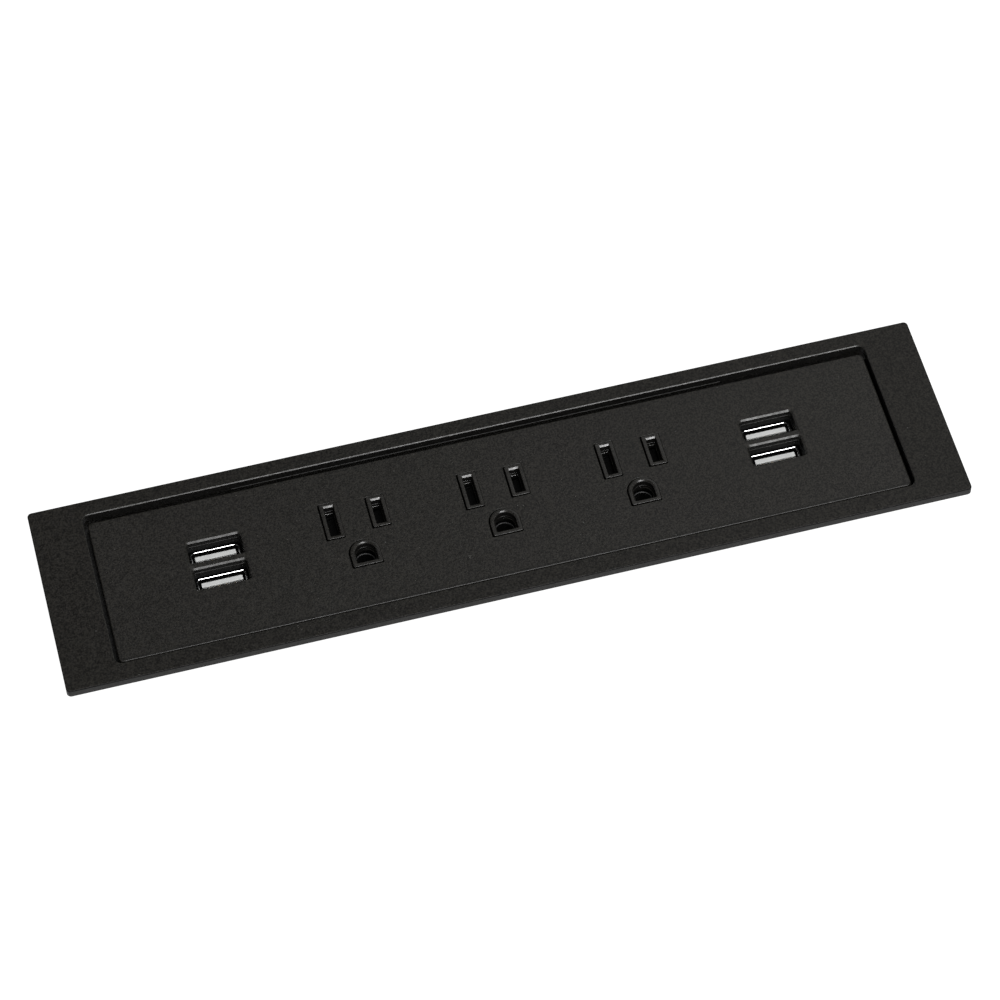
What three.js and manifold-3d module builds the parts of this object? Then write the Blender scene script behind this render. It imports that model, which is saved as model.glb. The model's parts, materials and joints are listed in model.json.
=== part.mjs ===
// A flush-mounted furniture power strip: three three-pin outlets between two stacked pairs of USB-A ports.
// Millimetres. X runs along the strip, Y towards the back and Z up. The origin is under the middle of the
// bezel, on the plane that the bottom cover stands on.
import * as THREE from "three";
import { mergeVertices } from "three/addons/utils/BufferGeometryUtils.js";
import Module from "manifold-3d";

const wasm = await Module();
wasm.setup();

// ---------- Driving dimensions ----------
const GAP = 0.3; // clearance between neighbouring pieces
const OVER = 1; // how far a cutter runs past the face it opens
const SINK = 0.1; // how far a joined solid reaches into its neighbour
const TOP = 28; // top face of the bezel
const PITCH = 38.1; // spacing of the outlets, and from the outer outlets to the ports

const BEZEL = { length: 245, width: 57.5, thick: 2.5, corner: 1.2, edge: 0.3 };
const OPENING = { length: 217.2, front: -23.45, back: 24.2, corner: 2, edge: 0.3 };
const RIM = { outer: [236, 50.4], inner: [233.2, 47.8], corner: 2, bottom: 20.3 };
const FACE = { size: [215.3, 44.6], x: 0.15, y: 0.18, thick: 2.9, recess: 1.5, corner: 1.3, edge: 0.35 };
const PLATE = { size: [232.4, 47.2], corner: 2, bottom: 20.4, top: 21.9 };
const RIB = { half: 106, inner: 20.6, outer: 22 }; // ledges under the long edges of the faceplate
const TUB = { half: 104, front: -11, back: 21.5, wall: 1.6, bottom: 2.7 };
const COVER = { thick: 2.4, corner: 0.8 };
const VENT = { count: 5, pitch: 4.4, width: 2, bottom: 6, top: 15.5 };

const BLADE = { offset: 6.35, y: 6.45 }; // blade slots, either side of the outlet's middle
const GROUND_Y = BLADE.y - 11.9;
const SLOTS = [
  { name: "neutral", x: -BLADE.offset, collar: [4.8, 11.5], mouth: [3.2, 10], throat: [2.2, 8.6] },
  { name: "hot", x: BLADE.offset, collar: [4.8, 9.75], mouth: [3.2, 8.4], throat: [2.2, 7] },
];
const GROUND = { collar: [8, 8], mouth: [6.3, 6.85], throat: 2.6, y: GROUND_Y + 0.15 };
// Each collar stands a little behind and to the right of the middle of its hole.
const COLLAR = { clearance: 0.25, offset: 0.15, top: 26.4, corner: 0.3, holeEdge: 0.4, mouthEdge: 0.5 };
const MODULE = { half: 16.5, front: -9.1, back: 14.3, bottom: 2.7, top: 21.9 };
const MODULE_FACE = { front: -11.2, back: 15.5, bottom: 22.2, top: 23.3, throatTop: 23.4 };
const SHUTTER = { left: -12.2, right: 9.5, front: 1.2, back: 11.7, bottom: 19.1, top: 21.4, travel: 3.2 };
const TRACK = { left: -12.6, right: 15.1 }; // where the shutter and its spring lie
const SPRING = { coil: 0.8, wire: 0.2, length: 4.4, turns: 4 };
const STRIP = { bottom: 3, top: 3.6, half: 58 };
const CLIP = { half: 1.9, sheet: 0.4, front: 3.2, back: 9.7, pinch: 15.2, top: 17.5 }; // blade contacts
const BARREL = { outer: 2.8, inner: 2.4, slit: 0.8, top: 21.4 }; // ground contacts

const USB = { x: 2 * PITCH, y: 2, pitch: 8.5, mouth: [15.1, 7.4], corner: 0.8, edge: 0.45 };
const SHELL = { outer: [13.1, 5.7], sheet: 0.3, flare: 0.4, bottom: 11.5, top: 22.2 };
const TONGUE = { width: 11.1, front: -0.1, back: 1.74, top: 21.6, base: 13.2, bottom: 11.8 };
const BOARD = { half: 14, front: -8.9, back: 19.3, bottom: 9.5, top: 11.1 };
const CHIPS = [[-4, 4, 1, 6, 1.2], [6, 9.5, -4, -1, 0.9], [-9.5, -6, -4, -1, 0.9]]; // under the board
const BOARD_POSTS = { radius: 1.5, places: [[64.8, 16.5], [87.6, 16.5], [87.6, -6.2], [70, -7.2]] };
const CARRIER = { half: 9.5, front: -7.3, back: 11.2, top: 23.3 };

const CLAMP = { x: 110.5, y: 8.8, screw: 2, lug: 4.2, lugBottom: 3.2, lugTop: 5.2, collarBottom: 19.2 };
const DOG = { bottom: 7.6, top: 11, ring: 5.2, bore: 3.6, reach: 14.5, width: 7 };
const GLAND = { y: -3.8, z: 9.6, thread: 4.4, bore: 3.3, flats: 12 };

// ---------- Materials ----------
function finish(color, roughness, metalness = 0) {
  return new THREE.MeshStandardMaterial({ color, roughness, metalness });
}
const blackPlastic = finish(0x2c2b29, 0.62);
const blackCollar = finish(0x2a2927, 0.55);
const housingPlastic = finish(0x262524, 0.7);
const modulePlastic = finish(0x1c1c1c, 0.6);
const shutterPlastic = finish(0x161616, 0.5);
const steel = finish(0xb9bcc0, 0.32, 1);
const brass = finish(0xc9a552, 0.35, 1);
const nickel = finish(0xc7c9cb, 0.25, 1);
const whiteResin = finish(0xd9dad8, 0.5);
const boardGreen = finish(0x1f5a36, 0.6);
const coreBlack = finish(0x3a3a3c, 0.7);
const blueSleeve = finish(0x2a4c86, 0.4);
const rubber = finish(0x1a1a1a, 0.85);
const blockNylon = finish(0xd6d2c4, 0.6);
const insulation = {
  line: finish(0x141414, 0.5),
  neutral: finish(0xe4e4e0, 0.5),
  earth: finish(0x2f8a3a, 0.5),
};

// ---------- Solids ----------
// Turns a closed geometry into a solid that can be cut and joined.
function solid(geometry) {
  const bare = geometry.clone();
  bare.deleteAttribute("normal");
  bare.deleteAttribute("uv");
  const merged = mergeVertices(bare, 1e-4);
  const corners = Array.from(merged.index.array);
  const kept = [];
  for (let i = 0; i < corners.length; i += 3) {
    const [a, b, c] = corners.slice(i, i + 3);
    if (a !== b && b !== c && c !== a) kept.push(a, b, c);
  }
  return new wasm.Manifold(new wasm.Mesh({
    numProp: 3,
    vertProperties: new Float32Array(merged.attributes.position.array),
    triVerts: new Uint32Array(kept),
  }));
}

function join(...solids) {
  return solids.reduce((whole, piece) => whole.add(piece));
}

function cut(body, ...cutters) {
  return cutters.reduce((rest, cutter) => rest.subtract(cutter), body);
}

function box(x0, x1, y0, y1, z0, z1) {
  const geometry = new THREE.BoxGeometry(x1 - x0, y1 - y0, z1 - z0);
  return solid(geometry.translate((x0 + x1) / 2, (y0 + y1) / 2, (z0 + z1) / 2));
}

function prism(shape, z0, z1, curveSegments = 1) {
  const geometry = new THREE.ExtrudeGeometry(shape, { depth: z1 - z0, bevelEnabled: false, curveSegments });
  return solid(geometry.translate(0, 0, z0));
}

// A prism whose upper edge is chamfered.
function chamferedPrism(shape, z0, z1, edge, curveSegments = 1) {
  const bevelled = new THREE.ExtrudeGeometry(shape, {
    depth: z1 - z0 - 2 * edge,
    bevelThickness: edge,
    bevelSize: edge,
    bevelOffset: -edge,
    bevelSegments: 1,
    curveSegments,
  });
  return join(solid(bevelled.translate(0, 0, z0 + edge)), prism(shape, z0, z1 - 2 * edge, curveSegments));
}

// A cutter for a hole whose upper edge is chamfered: it is the outline below, and widens up to the top face.
function chamferedHole(shape, z0, zTop, edge, curveSegments = 1) {
  const lead = new THREE.ExtrudeGeometry(shape, {
    depth: OVER,
    bevelThickness: edge,
    bevelSize: edge,
    bevelSegments: 1,
    curveSegments,
  });
  return join(prism(shape, z0, zTop + OVER, curveSegments), solid(lead.translate(0, 0, zTop)));
}

// A prism along Y of an outline given in X and Z.
function prismAlongY(points, y0, y1) {
  const shape = new THREE.Shape(points.map(([x, z]) => new THREE.Vector2(x, z)));
  const geometry = new THREE.ExtrudeGeometry(shape, { depth: y1 - y0, bevelEnabled: false });
  return solid(geometry.rotateX(Math.PI / 2).translate(0, y1, 0));
}

// A prism along X of an outline given in Y and Z.
function prismAlongX(points, x0, x1) {
  const shape = new THREE.Shape(points.map(([y, z]) => new THREE.Vector2(y, z)));
  const geometry = new THREE.ExtrudeGeometry(shape, { depth: x1 - x0, bevelEnabled: false });
  return solid(geometry.rotateX(Math.PI / 2).rotateZ(Math.PI / 2).translate(x0, 0, 0));
}

function rod(radius, z0, z1, x = 0, y = 0, sides = 12) {
  const geometry = new THREE.CylinderGeometry(radius, radius, z1 - z0, sides);
  return solid(geometry.rotateX(Math.PI / 2).translate(x, y, (z0 + z1) / 2));
}

function tube(outer, inner, z0, z1, x = 0, y = 0, sides = 12) {
  return cut(rod(outer, z0, z1, x, y, sides), rod(inner, z0 - OVER, z1 + OVER, x, y, sides));
}

// A solid of revolution about Z from a profile of [radius, height] points that starts and ends on the axis.
function turned(profile, sides = 12) {
  const points = profile.map(([radius, height]) => new THREE.Vector2(radius, height));
  return solid(new THREE.LatheGeometry(points, sides).rotateX(Math.PI / 2));
}

function rectangle([width, length], corner, x = 0, y = 0) {
  const [left, right] = [x - width / 2, x + width / 2];
  const [front, back] = [y - length / 2, y + length / 2];
  const shape = new THREE.Shape();
  shape.moveTo(left + corner, front);
  shape.lineTo(right - corner, front);
  shape.absarc(right - corner, front + corner, corner, -Math.PI / 2, 0, false);
  shape.lineTo(right, back - corner);
  shape.absarc(right - corner, back - corner, corner, 0, Math.PI / 2, false);
  shape.lineTo(left + corner, back);
  shape.absarc(left + corner, back - corner, corner, Math.PI / 2, Math.PI, false);
  shape.lineTo(left, front + corner);
  shape.absarc(left + corner, front + corner, corner, Math.PI, 1.5 * Math.PI, false);
  return shape;
}

// The outline of a ground hole: flat at the front, a half circle at the back.
function arch([width, length], x, y) {
  const radius = width / 2;
  const front = y - length / 2;
  const spring = y + length / 2 - radius;
  const shape = new THREE.Shape();
  shape.moveTo(x - radius, front);
  shape.lineTo(x + radius, front);
  shape.lineTo(x + radius, spring);
  shape.absarc(x, spring, radius, 0, Math.PI, false);
  shape.lineTo(x - radius, front);
  return shape;
}

function hexagon(acrossFlats) {
  const radius = acrossFlats / Math.sqrt(3);
  const corners = [0, 1, 2, 3, 4, 5].map((k) => {
    const angle = ((k + 0.5) * Math.PI) / 3;
    return new THREE.Vector2(radius * Math.cos(angle), radius * Math.sin(angle));
  });
  return new THREE.Shape(corners);
}

function grown([width, length], by) {
  return [width + 2 * by, length + 2 * by];
}

// ---------- Scene graph ----------
const group = new THREE.Group();

function add(name, body, material, position = [0, 0, 0], rotation = [0, 0, 0]) {
  const { numProp, vertProperties, triVerts } = body.getMesh();
  const positions = new Float32Array((vertProperties.length / numProp) * 3);
  for (let i = 0; i < positions.length / 3; i += 1) {
    positions.set(vertProperties.subarray(i * numProp, i * numProp + 3), i * 3);
  }
  const geometry = new THREE.BufferGeometry();
  geometry.setAttribute("position", new THREE.BufferAttribute(positions, 3));
  geometry.setIndex(Array.from(triVerts));
  geometry.computeVertexNormals();
  const mesh = new THREE.Mesh(geometry, material);
  mesh.name = name;
  mesh.position.set(...position);
  mesh.rotation.set(...rotation);
  group.add(mesh);
}

const OUTLETS = [
  { name: "left", x: -PITCH },
  { name: "middle", x: 0 },
  { name: "right", x: PITCH },
];
const ENDS = [
  { name: "left", side: -1 },
  { name: "right", side: 1 },
];
const ROWS = [
  { name: "front", y: USB.y - USB.pitch / 2 },
  { name: "back", y: USB.y + USB.pitch / 2 },
];
const FRAME_SCREWS = { x: 112.5, y: 19, boss: 3, pilot: 1.6, radius: 1.25 };
const COVER_SCREWS = [
  { x: 93.6, y: -7.2 },
  { x: 98.8, y: 17.7 },
];
const COVER_BOSS = { radius: 2.5, pilot: 1.4, depth: 10.3 };
const HOOKS = { x: [-1.5, -0.5, 0.5, 1.5].map((k) => k * PITCH), half: 2, front: -18, back: 19, margin: 0.5 };
const BARB = { blade: 1.1, reach: 1.1, height: 1.6, land: 0.6 };

// ---------- Bezel frame ----------
function bezelFrame() {
  const under = TOP - BEZEL.thick;
  const openingSize = [OPENING.length, OPENING.back - OPENING.front];
  const opening = rectangle(openingSize, OPENING.corner, 0, (OPENING.front + OPENING.back) / 2);
  const plate = chamferedPrism(rectangle([BEZEL.length, BEZEL.width], BEZEL.corner), under, TOP, BEZEL.edge);
  const flange = cut(plate, chamferedHole(opening, under - OVER, TOP, OPENING.edge));
  const rimOuter = prism(rectangle(RIM.outer, RIM.corner), RIM.bottom, under + SINK);
  const rim = cut(rimOuter, prism(rectangle(RIM.inner, RIM.corner), RIM.bottom - OVER, under + OVER));
  let body = join(flange, rim); // the back of the rim stands a little inside the opening, as a ledge
  for (const sx of [-1, 1]) {
    for (const sy of [-1, 1]) {
      const [x, y] = [sx * FRAME_SCREWS.x, sy * FRAME_SCREWS.y];
      const boss = rod(FRAME_SCREWS.boss, PLATE.top + GAP, under + SINK, x, y);
      const pilot = rod(FRAME_SCREWS.pilot, PLATE.top, under, x, y);
      body = cut(join(body, boss), pilot);
    }
  }
  return body;
}

// ---------- Faceplate ----------
// A hook that springs under an edge: blade and barb, in the Y-Z plane.
function hook(x, y, outward, barbTop) {
  const [near, far] = [y - (outward * BARB.blade) / 2, y + (outward * BARB.blade) / 2];
  const bottom = barbTop - BARB.height;
  const rise = TOP - FACE.recess - FACE.thick + SINK;
  const tip = far + outward * BARB.reach;
  const outline = [[near, rise], [near, bottom], [far, bottom], [tip, barbTop - BARB.land], [tip, barbTop],
    [far, barbTop], [far, rise]];
  return prismAlongX(outward > 0 ? outline : outline.reverse(), x - HOOKS.half, x + HOOKS.half);
}

function faceplate() {
  const top = TOP - FACE.recess;
  const under = top - FACE.thick;
  let body = chamferedPrism(rectangle(FACE.size, FACE.corner, FACE.x, FACE.y), under, top, FACE.edge);
  for (const outlet of OUTLETS) {
    for (const slot of SLOTS) {
      const size = grown(slot.collar, COLLAR.clearance);
      const x = outlet.x + slot.x - COLLAR.offset;
      const outline = rectangle(size, COLLAR.corner, x, BLADE.y - COLLAR.offset);
      body = cut(body, chamferedHole(outline, under - OVER, top, COLLAR.holeEdge));
    }
    const size = grown(GROUND.collar, COLLAR.clearance);
    const ground = arch(size, outlet.x - COLLAR.offset, GROUND_Y - COLLAR.offset);
    body = cut(body, chamferedHole(ground, under - OVER, top, COLLAR.holeEdge, 6));
  }
  for (const end of ENDS) {
    for (const row of ROWS) {
      const outline = rectangle(grown(USB.mouth, -USB.edge), USB.corner, end.side * USB.x, row.y);
      body = cut(body, chamferedHole(outline, under - OVER, top, USB.edge));
    }
  }
  for (const x of HOOKS.x) {
    body = join(body, hook(x, HOOKS.front, -1, PLATE.bottom - GAP));
    body = join(body, hook(x, HOOKS.back, 1, PLATE.bottom - 2 * GAP));
  }
  return body;
}

// ---------- Housing and bottom cover ----------
function housing() {
  const inner = { half: TUB.half - TUB.wall, front: TUB.front + TUB.wall, back: TUB.back - TUB.wall };
  let body = join(
    prism(rectangle(PLATE.size, PLATE.corner), PLATE.bottom, PLATE.top),
    box(-TUB.half, TUB.half, TUB.front, TUB.back, TUB.bottom, PLATE.bottom + SINK),
  );
  const cavity = box(-inner.half, inner.half, inner.front, inner.back, TUB.bottom - OVER, PLATE.top + OVER);
  body = cut(body, cavity);
  // Ribs that carry the long edges of the faceplate.
  const ribTop = TOP - FACE.recess - FACE.thick - GAP;
  for (const sy of [-1, 1]) {
    const [y0, y1] = [sy * RIB.outer, sy * RIB.inner].sort((a, b) => a - b);
    body = join(body, box(-RIB.half, RIB.half, y0, y1, PLATE.top - SINK, ribTop));
  }
  // Windows for the faceplate's hooks: through the plate at the front, through the tub's wall at the back.
  for (const x of HOOKS.x) {
    const half = HOOKS.half + HOOKS.margin;
    const depth = [HOOKS.front - 2.2, HOOKS.front + 1];
    const window = box(x - half, x + half, ...depth, PLATE.bottom - OVER, PLATE.top + OVER);
    const slit = box(x - half, x + half, HOOKS.back, TUB.back + OVER, PLATE.bottom - 2.8, PLATE.bottom - GAP);
    body = cut(body, window, slit);
  }
  for (const sx of [-1, 1]) {
    for (const { x, y } of COVER_SCREWS) {
      const boss = rod(COVER_BOSS.radius, TUB.bottom, PLATE.bottom + SINK, sx * x, y);
      const pilot = rod(COVER_BOSS.pilot, TUB.bottom - OVER, TUB.bottom + COVER_BOSS.depth, sx * x, y);
      body = cut(join(body, boss), pilot);
    }
    for (const sy of [-1, 1]) {
      const hole = rod(FRAME_SCREWS.pilot, PLATE.bottom - OVER, PLATE.top + OVER, sx * FRAME_SCREWS.x,
        sy * FRAME_SCREWS.y, 12);
      body = cut(body, hole);
    }
    // Clamp bearings: a lug below and a collar under the plate.
    const x = sx * CLAMP.x;
    const { lug, lugBottom, lugTop, collarBottom } = CLAMP;
    const [x0, x1] = [sx * (TUB.half - SINK), x].sort((a, b) => a - b);
    const bridge = box(x0, x1, CLAMP.y - lug, CLAMP.y + lug, lugBottom, lugTop);
    const collar = rod(lug, collarBottom, PLATE.bottom + SINK, x, CLAMP.y);
    const bearing = rod(CLAMP.screw + 0.4, lugBottom - OVER, collarBottom + OVER, x, CLAMP.y);
    body = cut(join(body, bridge, rod(lug, lugBottom, lugTop, x, CLAMP.y), collar), bearing);
    // Vents beside the USB boards.
    for (let k = 0; k < VENT.count; k += 1) {
      const left = sx * USB.x + VENT.pitch * (k - (VENT.count - 1) / 2) - VENT.width / 2;
      const back = [TUB.back - TUB.wall - OVER, TUB.back + OVER];
      body = cut(body, box(left, left + VENT.width, ...back, VENT.bottom, VENT.top));
    }
  }
  // The gland's hole in the right-hand end wall.
  const glandHole = rod(GLAND.thread + GAP, -4, 4).rotate([0, 90, 0]);
  return cut(body, glandHole.translate([TUB.half - 1, GLAND.y, GLAND.z]));
}

function bottomCover() {
  const size = [2 * TUB.half, TUB.back - TUB.front];
  const outline = rectangle(size, COVER.corner, 0, (TUB.back + TUB.front) / 2);
  let body = prism(outline, 0, COVER.thick);
  for (const sx of [-1, 1]) {
    for (const { x, y } of COVER_SCREWS) {
      const sink = turned([[0, -OVER], [2.9, -OVER], [2.9, 0.3], [1.6, 1.9], [1.6, 4], [0, 4]]);
      body = cut(body, sink.translate([sx * x, y, 0]));
    }
    for (const [x, y] of BOARD_POSTS.places) {
      body = join(body, rod(BOARD_POSTS.radius, COVER.thick - SINK, BOARD.bottom - GAP, sx * x, y));
    }
  }
  return body;
}

// ---------- Outlets ----------
function receptacleFace() {
  const { front, back, bottom, top, throatTop } = MODULE_FACE;
  let body = box(-MODULE.half, MODULE.half, front, back, bottom, top);
  for (const slot of SLOTS) {
    const collar = rectangle(slot.collar, COLLAR.corner, slot.x, BLADE.y);
    const mouth = rectangle(grown(slot.mouth, -COLLAR.mouthEdge), 0.15, slot.x, BLADE.y);
    const throat = rectangle(slot.throat, 0.15, slot.x, BLADE.y);
    body = join(body, prism(collar, top - SINK, COLLAR.top));
    const funnel = chamferedHole(mouth, throatTop, COLLAR.top, COLLAR.mouthEdge);
    body = cut(body, funnel, prism(throat, bottom - OVER, COLLAR.top));
  }
  const mouth = arch(grown(GROUND.mouth, -COLLAR.mouthEdge), 0, GROUND_Y);
  body = join(body, prism(arch(GROUND.collar, 0, GROUND_Y), top - SINK, COLLAR.top, 6));
  body = cut(body, chamferedHole(mouth, throatTop, COLLAR.top, COLLAR.mouthEdge, 6));
  return cut(body, rod(GROUND.throat, bottom - OVER, COLLAR.top, 0, GROUND.y));
}

function receptacleBase() {
  const { half, front, back, bottom, top } = MODULE;
  const pocketHalf = CLIP.half + 0.5;
  const channel = (y0, y1, x0 = -half - OVER, x1 = half + OVER) => box(x0, x1, y0, y1, bottom - OVER, 4.2);
  // Track of the shutter and its spring.
  const track = [TRACK.left, TRACK.right, SHUTTER.front - 0.4, SHUTTER.back + 0.4];
  let body = cut(box(-half, half, front, back, bottom, top), box(...track, SHUTTER.bottom - 0.2, top + OVER));
  for (const slot of SLOTS) {
    const pocket = box(slot.x - pocketHalf, slot.x + pocketHalf, 1.7, 11.2, bottom - OVER, CLIP.top + 0.4);
    const neck = box(slot.x - 1.5, slot.x + 1.5, 1.9, 11, CLIP.top + 0.3, top);
    body = cut(body, pocket, neck);
  }
  const [neutral, hot] = SLOTS;
  return cut(
    body,
    rod(BARREL.outer + GAP, bottom - OVER, top + OVER, 0, GROUND.y),
    channel(1.7, 13.9, neutral.x - pocketHalf, neutral.x + pocketHalf),
    channel(11.3, 13.9),
    channel(-1.1, 11.2, hot.x - pocketHalf, hot.x + pocketHalf),
    channel(-1.1, 1.5),
    channel(GROUND.y - 1.3, GROUND.y + 1.3),
  );
}

function shutter() {
  const { left, right, front, back, bottom, top, travel } = SHUTTER;
  let body = box(left, right, front, back, bottom, top);
  for (const slot of SLOTS) {
    const middle = slot.x - travel;
    const [edge, crest] = [middle + 1.5, slot.x + 1.95];
    const window = box(middle - 1.5, edge, front + 1, back - 1, bottom - OVER, top + OVER);
    // The ramp that a blade slides down as it pushes the shutter aside.
    const ramp = prismAlongY([[edge - 0.1, bottom + 0.6], [crest, top], [crest, top + OVER],
      [edge - 0.1, top + OVER]], front + 1, back - 1);
    body = cut(body, window, ramp);
  }
  return body;
}

class Helix extends THREE.Curve {
  constructor(radius, length, turns) {
    super();
    Object.assign(this, { radius, length, turns });
  }

  getPoint(t, target = new THREE.Vector3()) {
    const angle = 2 * Math.PI * this.turns * t;
    return target.set(this.length * t, this.radius * Math.cos(angle), this.radius * Math.sin(angle));
  }
}

function shutterSpring() {
  const wire = new THREE.Shape().absarc(0, 0, SPRING.wire, 0, 2 * Math.PI, false);
  const path = new Helix(SPRING.coil, SPRING.length, SPRING.turns);
  return solid(new THREE.ExtrudeGeometry(wire, { steps: 36, curveSegments: 2, extrudePath: path }));
}

for (const outlet of OUTLETS) {
  const place = [outlet.x, 0, 0];
  add(`receptacle_face_${outlet.name}`, receptacleFace(), blackCollar, place);
  add(`receptacle_base_${outlet.name}`, receptacleBase(), modulePlastic, place);
  add(`shutter_${outlet.name}`, shutter(), shutterPlastic, place);
  const springPlace = [outlet.x + SHUTTER.right + 0.5, BLADE.y, (SHUTTER.bottom + SHUTTER.top) / 2];
  add(`shutter_spring_${outlet.name}`, shutterSpring(), steel, springPlace);
}

// ---------- Bus bars and contacts ----------
// One leaf of a blade clip: it leans in to pinch the blade, then flares out to guide it.
function leaf(x, side) {
  const { half, sheet, front, back, pinch, top } = CLIP;
  const outer = [[half, STRIP.bottom], [half, 9], [1.25, pinch], [half, top]];
  const foot = half - sheet - 0.1;
  const inner = [[half - sheet, top], [0.8, pinch], [foot, 9], [foot, STRIP.bottom]];
  const outline = [...outer, ...inner].map(([dx, z]) => [x + side * dx, z]);
  return prismAlongY(side > 0 ? outline : outline.reverse(), front, back);
}

function bladeBus(slot, strip, foot) {
  let body = box(-STRIP.half, STRIP.half, strip[0], strip[1], STRIP.bottom, STRIP.top);
  for (const outlet of OUTLETS) {
    const x = outlet.x + slot.x;
    const tab = box(x - CLIP.half, x + CLIP.half, foot[0], foot[1], STRIP.bottom, STRIP.top);
    body = join(body, tab, leaf(x, -1), leaf(x, 1));
  }
  return body;
}

function groundBus() {
  let body = box(-STRIP.half, STRIP.half, GROUND.y - 1, GROUND.y + 1, STRIP.bottom, STRIP.top);
  for (const outlet of OUTLETS) {
    const { outer, inner, slit, top } = BARREL;
    const barrel = tube(outer, inner, STRIP.bottom, top, outlet.x, GROUND.y, 20);
    const [x0, x1] = [outlet.x - slit / 2, outlet.x + slit / 2];
    body = join(body, cut(barrel, box(x0, x1, GROUND.y - outer - OVER, GROUND.y, 6, top + OVER)));
  }
  return body;
}

add("neutral_bus", bladeBus(SLOTS[0], [11.6, 13.6], [3.2, 12]), brass);
add("hot_bus", bladeBus(SLOTS[1], [-0.8, 1.2], [0.4, 9.7]), brass);
add("ground_bus", groundBus(), nickel);

// ---------- USB ports ----------
function usbShell() {
  const { outer, sheet, flare, bottom, top } = SHELL;
  const inner = grown(outer, -sheet);
  const skin = chamferedHole(rectangle(outer, 0.9), bottom, top - 0.2, flare);
  const hollow = chamferedHole(rectangle(inner, 0.6), bottom - OVER, top - 0.2, flare);
  const trim = box(-10, 10, -10, 10, top, top + 5);
  return cut(skin, hollow, trim);
}

function usbTongue() {
  const { width, front, back, top, base, bottom } = TONGUE;
  const foot = box(-5.9, 5.9, -2.2, 2.2, bottom, base + 0.1);
  const blade = rectangle([width, back - front], 0.2, 0, (front + back) / 2);
  return join(foot, chamferedPrism(blade, base, top, 0.15));
}

function usbCarrier() {
  let body = box(-CARRIER.half, CARRIER.half, CARRIER.front, CARRIER.back, BOARD.top + GAP, CARRIER.top);
  for (const row of ROWS) {
    const well = prism(rectangle([14.5, 6.9], 1.1, 0, row.y), BOARD.top - OVER, CARRIER.top + OVER);
    body = cut(body, well);
  }
  return body;
}

function usbBoard() {
  let body = box(-BOARD.half, BOARD.half, BOARD.front, BOARD.back, BOARD.bottom, BOARD.top);
  for (const [x0, x1, y0, y1, height] of CHIPS) {
    body = join(body, box(x0, x1, y0, y1, BOARD.bottom - height, BOARD.bottom + SINK));
  }
  return body;
}

function usbTransformer() {
  const bottom = BOARD.top + GAP;
  const flange = (z) => box(-7, 7, 13, 18.8, bottom + z, bottom + z + 1);
  const bobbin = join(flange(0), flange(6.6));
  const core = box(-7, 7, 14.2, 17.6, bottom + 0.5, bottom + 7);
  const winding = box(-4.6, 4.6, 13.3, 18.5, bottom + 0.5, bottom + 7);
  return join(bobbin, core, winding);
}

function usbCapacitor() {
  const bottom = BOARD.top + GAP;
  const profile = [[0, 0], [2.1, 0], [2.1, 1.1], [1.9, 1.3], [2.1, 1.5], [2.1, 7.6], [1.8, 7.9], [0, 7.9]];
  return turned(profile).translate([0, 0, bottom]);
}

for (const end of ENDS) {
  const place = [end.side * USB.x, 0, 0];
  add(`usb_carrier_${end.name}`, usbCarrier(), modulePlastic, place);
  add(`usb_board_${end.name}`, usbBoard(), boardGreen, place);
  add(`usb_transformer_${end.name}`, usbTransformer(), coreBlack, place);
  add(`usb_capacitor_${end.name}`, usbCapacitor(), blueSleeve, [end.side * (USB.x + 11.7), 14.6, 0]);
  for (const row of ROWS) {
    const portPlace = [end.side * USB.x, row.y, 0];
    add(`usb_shell_${end.name}_${row.name}`, usbShell(), nickel, portPlace);
    add(`usb_tongue_${end.name}_${row.name}`, usbTongue(), whiteResin, portPlace);
  }
}

add("bezel_frame", bezelFrame(), blackPlastic);
add("faceplate", faceplate(), blackPlastic);
add("housing", housing(), housingPlastic);
add("bottom_cover", bottomCover(), housingPlastic);

// ---------- Wiring ----------
const WIRE_RADIUS = 0.9;
const SEAT = STRIP.top + GAP + WIRE_RADIUS;
const WIRES = [
  { name: "earth", start: 5.6, end: GROUND.y },
  { name: "line", start: 9.1, end: 0.2 },
  { name: "neutral", start: 12.6, end: 12.6 },
];

function wire(points, radius) {
  const path = new THREE.CatmullRomCurve3(points.map((point) => new THREE.Vector3(...point)));
  const section = new THREE.Shape().absarc(0, 0, radius, 0, 2 * Math.PI, false);
  return solid(new THREE.ExtrudeGeometry(section, { steps: 16, curveSegments: 3, extrudePath: path }));
}

function terminalBlock() {
  let body = box(91.4, 101.4, 3.8, 14.4, 2.8, 13);
  for (const { start: y } of WIRES) {
    const wireHole = box(90, 94.8, y - 1.35, y + 1.35, 4.65, 7.35);
    const cordHole = box(98, 103, y - 1.35, y + 1.35, 4.65, 7.35);
    const screwHoles = [94.2, 98.6].map((x) => rod(1.3, 9.5, 14, x, y, 12));
    body = cut(body, wireHole, cordHole, ...screwHoles);
  }
  return body;
}

function usbFeed(side) {
  const section = rectangle([3, 1.2], 0.3);
  const points = [[57, 6.5, 4.6], [59.5, 6.5, 4.8], [61.5, 6.5, 6.2], [64, 6.5, 8], [66.5, 6.5, 8.4]];
  const path = new THREE.CatmullRomCurve3(points.map(([x, y, z]) => new THREE.Vector3(side * x, y, z)));
  return solid(new THREE.ExtrudeGeometry(section, { steps: 10, curveSegments: 1, extrudePath: path }));
}

add("terminal_block", terminalBlock(), blockNylon);
for (const { name, start, end } of WIRES) {
  const points = [[94.2, start, 6], [88, start, 6], [80, start + (end - start) * 0.35, 6],
    [68, start + (end - start) * 0.9, 5.6], [62, end, SEAT], [56, end, SEAT]];
  add(`${name}_wire`, wire(points, WIRE_RADIUS), insulation[name]);
}
for (const end of ENDS) {
  add(`usb_feed_${end.name}`, usbFeed(end.side), rubber);
}

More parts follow.
